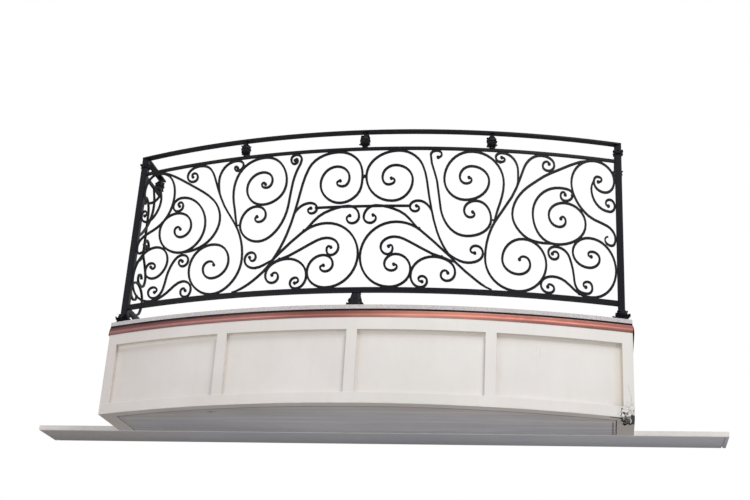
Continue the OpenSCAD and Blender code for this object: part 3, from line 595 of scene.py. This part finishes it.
def squircle(half, z, power=6.0, steps=24, jitter=None):
    """A ring between a circle (power 2) and a square (high power)."""
    ring = []
    for i in range(steps):
        a = 2 * math.pi * i / steps
        c, s = math.cos(a), math.sin(a)
        r = half / (abs(c) ** power + abs(s) ** power) ** (1 / power)
        if jitter:
            r *= 1 + jitter(a, z)
        ring.append((r * c, r * s, z))
    return ring


LEAF_T, LEAF_CUP = 0.0022, 0.25


def leaf(length, width, lift, curl, lobes=3, blunt=False):
    """A forged leaf that starts at the origin, rises at `lift` from the X axis and curls over."""
    s = Shape()
    nu, nv = 16, 8
    top, under = [], []
    px = pz = 0.0
    for i in range(nu + 1):
        t = i / nu
        a = lift + curl * t * t
        if i:
            px += length / nu * math.cos(a)
            pz += length / nu * math.sin(a)
        body = math.sin(math.pi * (0.18 + 0.82 * t) ** 0.85) ** 0.75 if t < 1 else 0.0
        if blunt:
            body = math.sqrt(1 - t ** 5) * (0.62 + 0.38 * math.sin(math.pi * min(1.0, 1.2 * t)))
        edge = 1 + (0.10 if blunt else 0.26) * math.cos(2 * math.pi * lobes * t + 0.6)
        half = max(0.02 * width, width / 2 * body * edge)
        up = (-math.sin(a), math.cos(a))
        th = LEAF_T * (1.15 - 0.7 * t)
        r_top, r_under = [], []
        for j in range(nv + 1):
            q = 2 * j / nv - 1
            vein = 0.20 * width * (1 - abs(q)) ** 3 * (1 - t)
            dip = -LEAF_CUP * half * q * q + vein * 0.35
            r_top.append((px + up[0] * (dip + th), q * half, pz + up[1] * (dip + th)))
            r_under.append((px + up[0] * (dip - th), q * half, pz + up[1] * (dip - th)))
        top.append(r_top)
        under.append(r_under)
    s.loft([r + list(reversed(b)) for r, b in zip(top, under)])
    return s


def ring_of_leaves(into, count, radius, z, length, width, lift, curl, phase=0.0, seed=0, square=False, lobes=3,
                   blunt=False):
    rng = random.Random(seed)
    for i in range(count):
        a = 2 * math.pi * (i + phase) / count
        r = radius / max(abs(math.cos(a)), abs(math.sin(a))) if square else radius
        k = 1 + rng.uniform(-0.10, 0.10)
        one = leaf(length * k, width * k, lift + rng.uniform(-0.12, 0.12), curl + rng.uniform(-0.25, 0.25),
                   lobes=lobes, blunt=blunt)
        into.add(one, Matrix.Rotation(a, 4, "Z") @ Matrix.Translation((r, 0, z + rng.uniform(-0.001, 0.001))))


def knot(into, z, size, seed):
    """Compact leafy knot: a lobed body with four blunt leaves folded up and four folded down."""
    def lobed(a, at_z):
        return 0.06 * math.cos(8 * a + 2.2 * (at_z - z) / size)

    rings = []
    for i in range(19):
        t = -1 + i / 9
        r = size * (0.34 + 0.50 * math.sqrt(max(0.0, 1 - t * t)))
        rings.append(squircle(r, z + t * size * 1.10, 2.6, 40, lobed))
    into.loft(rings)
    for i, (count, radius, dz, length, width, lift, curl, phase) in enumerate((
            (4, 0.46, 0.16, 0.92, 1.04, 1.30, -1.10, 0.0),
            (4, 0.50, -0.16, 0.88, 1.02, -1.15, 0.95, 0.5),
            (8, 0.62, 0.0, 0.44, 0.66, 0.35, -0.35, 0.25))):
        ring_of_leaves(into, count, size * radius, z + size * dz, size * length, size * width, lift, curl, phase,
                       seed + i, blunt=True)


def upright(into, height, half):
    """Square bar with a wider block at each end."""
    rings = []
    for z, k in ((0.0, 1.35), (0.004, 1.35), (0.010, 1.0), (height / 2, 0.92), (height - 0.010, 1.0),
                 (height - 0.004, 1.3), (height, 1.3)):
        rings.append(squircle(half * k, z, 8.0, 20))
    into.loft(rings)


def link_shape(seed):
    s = Shape()
    upright(s, UPPER_GAP, LINK_W / 2)
    knot(s, 0.45 * UPPER_GAP, 0.0305, seed)
    return s


# ---------------------------------------------------------------- knots between the top rails
for i, share in enumerate((-0.515, -0.004, 0.503)):
    angle = share * math.asin(X_POST / SCROLL_R)
    spot = Shape()
    place = (
        Matrix.Translation((0, BOW_Y, Z_UPPER)) @ Matrix.Rotation(angle, 4, "Z")
        @ Matrix.Translation((0, -SCROLL_R, 0)) @ Matrix.Rotation((0.5, 0.9, 0.2)[i], 4, "Z")
    )
    spot.add(link_shape(11 + 7 * i), place)
    obj = spot.piece("knuckle_" + ("left", "middle", "right")[i], IRON, "black_iron")
    if i == 1:
        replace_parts(obj, "knuckles")

for side, tag in ((-1, "left"), (1, "right")):
    spot = Shape()
    spot.add(link_shape(41 + side), Matrix.Translation((side * X_SIDE, -WALL_GAP, Z_UPPER)))
    obj = spot.piece("wall_knuckle_" + tag, IRON, "black_iron")
    if side > 0:
        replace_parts(obj, "wall_links")


# ---------------------------------------------------------------- posts, shoes and feet
def post_shape(seed):
    """Corner post, with a collar of leaves between the two top rails."""
    s = Shape()
    half = POST_W / 2
    z_top = Z_HAND - HAND_T
    rings = [squircle(half, z, 14.0, 40) for z in (Z_DECK, Z_DECK + 0.2, Z_DECK + 0.5, Z_DECK + 0.8, z_top)]
    s.loft(rings)
    zc = z_top - UPPER_GAP / 2
    collar = [squircle(half * k, zc + dz, 9.0, 40) for dz, k in (
        (-0.014, 1.0), (-0.012, 1.12), (-0.007, 1.16), (-0.003, 1.24), (0.003, 1.24), (0.007, 1.16),
        (0.012, 1.12), (0.014, 1.0))]
    s.loft(collar)
    ring_of_leaves(s, 8, half * 1.0, zc + 0.001, 0.0135, 0.019, 1.00, -0.90, 0.0, seed, True, blunt=True)
    ring_of_leaves(s, 8, half * 1.0, zc - 0.002, 0.0120, 0.019, -0.90, 0.80, 0.5, seed + 1, True, blunt=True)
    return s


def shoe_shape(seed, turn):
    """Cast shoe around a post: a square body, wider at the top, with leaf relief, corner leaves and a collar."""
    s = Shape()
    profile = [
        (0.000, 0.0245, 9), (0.003, 0.0250, 10), (0.010, 0.0256, 10), (0.022, 0.0272, 10), (0.036, 0.0292, 10),
        (0.0440, 0.0300, 9), (0.0470, 0.0290, 8), (0.0490, 0.0238, 9), (0.0510, 0.0242, 10), (0.0590, 0.0244, 10),
        (0.0610, 0.0235, 10), (0.0620, 0.0195, 10),
    ]
    s.loft([squircle(h, z, p, 56) for z, h, p in profile])
    for row, (z, length, phase) in enumerate(((0.006, 0.020, 0.5), (0.022, 0.024, 0.0))):
        ring_of_leaves(s, 12, 0.0248 + 0.0020 * row, z, length, 0.0160, 1.50, -0.25, phase, seed + row, True,
                       blunt=True)
    # The corner leaves stand turned towards the end of the bow
    ring_of_leaves(s, 4, 0.0300, 0.031, 0.0230, 0.036, 0.62, 0.25, 0.5 + turn, seed + 4, lobes=4)
    ring_of_leaves(s, 4, 0.0290, 0.022, 0.0200, 0.030, 0.95, -0.10, 0.5 + turn, seed + 7, lobes=4)
    ring_of_leaves(s, 4, 0.0260, 0.054, 0.0110, 0.014, 0.60, 0.20, 0.5 + turn, seed + 5, lobes=3)
    ring_of_leaves(s, 8, 0.0240, 0.050, 0.006, 0.013, -0.50, 0.40, 0.5, seed + 6, True, blunt=True)
    return s


def foot_shape(base, neck, height, seed):
    s = Shape()
    """Flared foot: a ribbed body, wide at the base, with leaves folded up round it."""
    def ribs(a, z):
        return 0.020 * math.cos(12 * a) * (1 - z / height)

    profile = [
        (0.00, 1.0), (0.05, 1.0), (0.08, 0.96), (0.09, 0.86), (0.14, 0.80), (0.30, 0.62), (0.50, 0.40),
        (0.70, 0.19), (0.84, 0.05), (0.88, 0.0), (0.90, 0.10), (0.94, 0.12), (0.96, 0.0), (1.0, -0.1),
    ]
    s.loft([squircle(neck + (base - neck) * k if k >= 0 else neck * (1 + k), t * height, 6.0, 48, ribs)
            for t, k in profile])
    reach = base - neck
    wide = base * 0.34
    ring_of_leaves(s, 4, neck + 0.66 * reach, height * 0.09, reach * 0.55, wide, 1.20, -0.60, 0.5, seed, True, 4)
    ring_of_leaves(s, 8, neck + 0.40 * reach, height * 0.28, reach * 0.9, wide, 1.62, -0.30, 0.0, seed + 1, True,
                   3, True)
    return s


for side, tag in ((-1, "left"), (1, "right")):
    spot = Shape()
    spot.add(post_shape(60 + 5 * side), Matrix.Translation((side * POST_C[0], POST_C[1], 0)))
    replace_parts(spot.piece("post_" + tag, IRON, "black_iron"), "corner_post_" + tag)
    spot = Shape()
    spot.add(shoe_shape(80 + 5 * side, 0.21 * side), Matrix.Translation((side * POST_C[0], POST_C[1], Z_DECK)))
    obj = spot.piece("shoe_" + tag, IRON, "black_iron")
    if side > 0:
        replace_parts(obj, "corner_shoes")
    spot = Shape()
    spot.add(foot_shape(0.0255, 0.0141, LOWER_GAP, 90 + side),
             Matrix.Translation((side * X_SIDE, -WALL_GAP, Z_DECK)))
    obj = spot.piece("wall_foot_" + tag, IRON, "black_iron")
    if side > 0:
        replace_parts(obj, "wall_feet")

spot = Shape()
spot.add(foot_shape(0.0440, 0.0218, LOWER_GAP, 97), Matrix.Translation((0, BOW_Y - SCROLL_R, Z_DECK)))
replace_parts(spot.piece("foot_middle", IRON, "black_iron"), "centre_foot")


# ---------------------------------------------------------------- copper flashing
def copper_profile():
    """Outline in (stand-off, height from the slab): a thin flange in the joint, then a shallow bulge."""
    outer = [
        (0.0003, -0.0003), (0.0004, -0.0040), (0.0005, -0.0084), (0.0020, -0.0088), (0.0027, -0.0097),
        (0.0033, -0.0130), (0.0039, -0.0180), (0.0045, -0.0230), (0.0051, -0.0280), (0.0057, -0.0315),
        (0.0061, -0.0340), (0.0062, -0.0365), (0.0059, -0.0390), (0.0051, -0.0420), (0.0041, -0.0450),
        (0.0031, -0.0480), (0.0023, -0.0503), (0.0016, -0.0515),
    ]
    inner = [(0.0004, -0.0515), (0.0, -0.0480), (0.0, -0.0350), (0.0, -0.0200), (0.0, -0.0110), (0.0, -0.0003)]
    return outer + inner


def flashing():
    s = Shape()
    profile = copper_profile()
    a_end = math.asin(HALF_W / BOW_R)
    steps = 180
    rings = []
    rng = random.Random(5)
    wave = [rng.uniform(0, 2 * math.pi) for _ in range(6)]
    for i in range(steps + 1):
        a = -a_end + 2 * a_end * i / steps
        sag = sum(0.00018 / (k + 1) * math.sin((5 + 7 * k) * a * 4 + wave[k]) for k in range(6))
        ring = []
        # The sheet was trimmed by hand: a little shorter in the middle
        t = i / steps
        trim = 0.0005 + 0.0048 * min(1.0, 2.4 * t) - 0.0034 * min(1.0, max(0.0, (t - 0.70) / 0.20))
        for off, dz in profile:
            k = min(1.0, -dz / 0.05)
            dz *= 1 - trim / SHEET_H * max(0.0, (-dz - JOINT_H) / SHEET_H)
            r = BOW_R + off + sag * k
            ring.append((r * math.sin(a), BOW_Y - r * math.cos(a), Z_SLAB + dz + 0.4 * sag * k))
        rings.append(ring)
    s.loft(rings)
    y_front = bow_y(HALF_W, BOW_R)
    for side in (-1, 1):
        # The return along the side of the box: a thin leaf, bent out along its lower edge
        bend = 1.0 if side > 0 else 0.8
        section = [(0.0, -JOINT_H), (0.0015, -JOINT_H), (0.0060, -0.0200), (0.0085, -0.0340), (0.0095, -0.0440),
                   (0.0088, -0.0515), (0.0078, -0.0515), (0.0074, -0.0340), (0.0050, -0.0200), (0.0, -0.0110)]
        rows = []
        for k in range(9):
            y = y_front * (1 - k / 8)
            rows.append([(side * (HALF_W + bend * o), y, Z_SLAB + dz) for o, dz in section])
        s.loft(rows)
    return s


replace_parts(flashing().piece("flashing", COPPER, "copper", 35.0), "copper_flashing")


# ---------------------------------------------------------------- broken corner
def ribbon(into, points, width, thick, across):
    """A thin strip through points; its width lies along `across`."""
    across = Vector(across).normalized()
    rings = []
    for i, p in enumerate(points):
        t = i / (len(points) - 1)
        run = (Vector(points[min(i + 1, len(points) - 1)]) - Vector(points[max(i - 1, 0)])).normalized()
        side = across * (width / 2 * (1.0 - 0.55 * t * t))
        lift = run.cross(across).normalized() * thick / 2
        p = Vector(p)
        rings.append([p - side - lift, p + side - lift, p + side + lift, p - side + lift])
    into.loft(rings)


def fibres():
    rng = random.Random(23)
    s = Shape()
    for _ in range(70):
        x, y = HALF_W + rng.uniform(-0.070, -0.010), -CORNER_DEPTH + rng.uniform(0.010, 0.115)
        a = rng.uniform(0, 2 * math.pi)
        length = rng.uniform(0.012, 0.040)
        bow = rng.uniform(-0.4, 0.4)
        z = Z_SOFFIT + rng.uniform(0.0065, 0.0080)
        dip = rng.uniform(0.001, 0.005)
        points = []
        for i in range(7):
            t = i / 6
            b = a + bow * t
            px = min(max(x + length * t * math.cos(b), HALF_W - 0.076), HALF_W - 0.006)
            points.append((px, y + length * t * math.sin(b), z - dip * t * t))
        ribbon(s, points, rng.uniform(0.0012, 0.0032), 0.0007, (-math.sin(a), math.cos(a), rng.uniform(-0.5, 0.5)))
    return s


def flakes():
    """Strips of the painted facing that hang loose in the hole."""
    s = Shape()
    for x, y0, y1, width, drop in ((-0.023, 0.026, 0.092, 0.0078, 0.0066), (-0.060, 0.012, 0.034, 0.0034, 0.0045)):
        points = []
        for i in range(11):
            t = i / 10
            points.append((HALF_W + x + 0.005 * math.sin(3.0 * t), -CORNER_DEPTH + y0 + (y1 - y0) * t,
                           Z_SOFFIT + 0.0074 - drop * math.sin(0.5 * math.pi * t)))
        ribbon(s, points, width, 0.0011, (1.0, 0.12, 0.05))
    return s


fibres().piece("torn_fibres", FIBRE, "exposed_core", 30.0)
flakes().piece("torn_facing", FACING, "cream_paint", 30.0)


# ---------------------------------------------------------------- camera
# From the fit to the photograph
PHOTO_W = 750
FOCAL_PX = 1248.153
SENSOR_MM = 36.0
CAMERA_AT = (1.281232, -6.662167, -2.031758)
PAN, TILT, ROLL = math.radians(-11.051), math.radians(23.038), math.radians(3.445)
view = Vector((math.sin(PAN) * math.cos(TILT), math.cos(PAN) * math.cos(TILT), math.sin(TILT)))
right = Vector((math.cos(PAN), -math.sin(PAN), 0.0))
above = right.cross(view)
right_r = math.cos(ROLL) * right + math.sin(ROLL) * above
above_r = -math.sin(ROLL) * right + math.cos(ROLL) * above
cam_data = bpy.data.cameras.new("camera")
cam_data.sensor_width = SENSOR_MM
cam_data.lens = FOCAL_PX / PHOTO_W * SENSOR_MM
cam = bpy.data.objects.new("camera", cam_data)
bpy.context.scene.collection.objects.link(cam)
turn = Matrix((right_r, above_r, -view)).transposed().to_4x4()
cam.matrix_world = Matrix.Translation(CAMERA_AT) @ turn
bpy.context.scene.camera = cam


# ---------------------------------------------------------------- floor, light and background
def plain(name, colour, rough):
    mat = bpy.data.materials.new(name)
    mat.use_nodes = True
    b = mat.node_tree.nodes["Principled BSDF"].inputs
    b["Base Color"].default_value = (*colour, 1.0)
    b["Roughness"].default_value = rough
    return mat


FLOOR_HALF = 30.0
Z_FLOOR = -3.6
corners = [(x * FLOOR_HALF, y * FLOOR_HALF, Z_FLOOR) for x, y in ((-1, -1), (1, -1), (1, 1), (-1, 1))]
floor_mesh = bpy.data.meshes.new("floor")
floor_mesh.from_pydata(corners, [], [(0, 1, 2, 3)])
floor = bpy.data.objects.new("floor", floor_mesh)
bpy.context.scene.collection.objects.link(floor)
floor_mesh.materials.append(plain("floor_grey", (0.78, 0.77, 0.765), 0.9))


def area(name, at, to, size, watts, colour):
    """Round area light that looks from one point at another."""
    data = bpy.data.lights.new(name, "AREA")
    data.shape = "DISK"
    data.size = size
    data.energy = watts
    data.color = colour
    obj = bpy.data.objects.new(name, data)
    obj.location = at
    obj.rotation_euler = (Vector(to) - Vector(at)).to_track_quat("-Z", "Y").to_euler()
    bpy.context.scene.collection.objects.link(obj)


area("key", (3.8, -5.2, 7.0), (0.3, -0.3, 0.0), 4.0, 615, (1.0, 0.982, 0.960))
area("fill", (-4.5, -6.0, 2.5), (-0.3, -0.3, 0.0), 5.0, 135, (0.97, 0.98, 1.0))

world = bpy.data.worlds.new("sky")
bpy.context.scene.world = world
world.use_nodes = True
sky = world.node_tree
sky.nodes.clear()


def background(colour, strength):
    node = sky.nodes.new("ShaderNodeBackground")
    node.inputs[0].default_value = (*colour, 1)
    node.inputs[1].default_value = strength
    return node.outputs[0]


def either(a, b):
    node = sky.nodes.new("ShaderNodeMath")
    node.operation = "MAXIMUM"
    sky.links.new(a, node.inputs[0])
    sky.links.new(b, node.inputs[1])
    return node.outputs[0]


# White where the camera, a reflection or glass sees the sky, and soft light everywhere else
ray = sky.nodes.new("ShaderNodeLightPath").outputs
seen = either(either(ray["Is Camera Ray"], ray["Is Glossy Ray"]), ray["Is Transmission Ray"])
mixer = sky.nodes.new("ShaderNodeMixShader")
sky.links.new(seen, mixer.inputs[0])
sky.links.new(background((0.93, 0.96, 1.0), 0.42), mixer.inputs[1])
sky.links.new(background((1, 1, 1), 1.0), mixer.inputs[2])
sky.links.new(mixer.outputs[0], sky.nodes.new("ShaderNodeOutputWorld").inputs[0])

bpy.context.scene.view_settings.view_transform = "Standard"
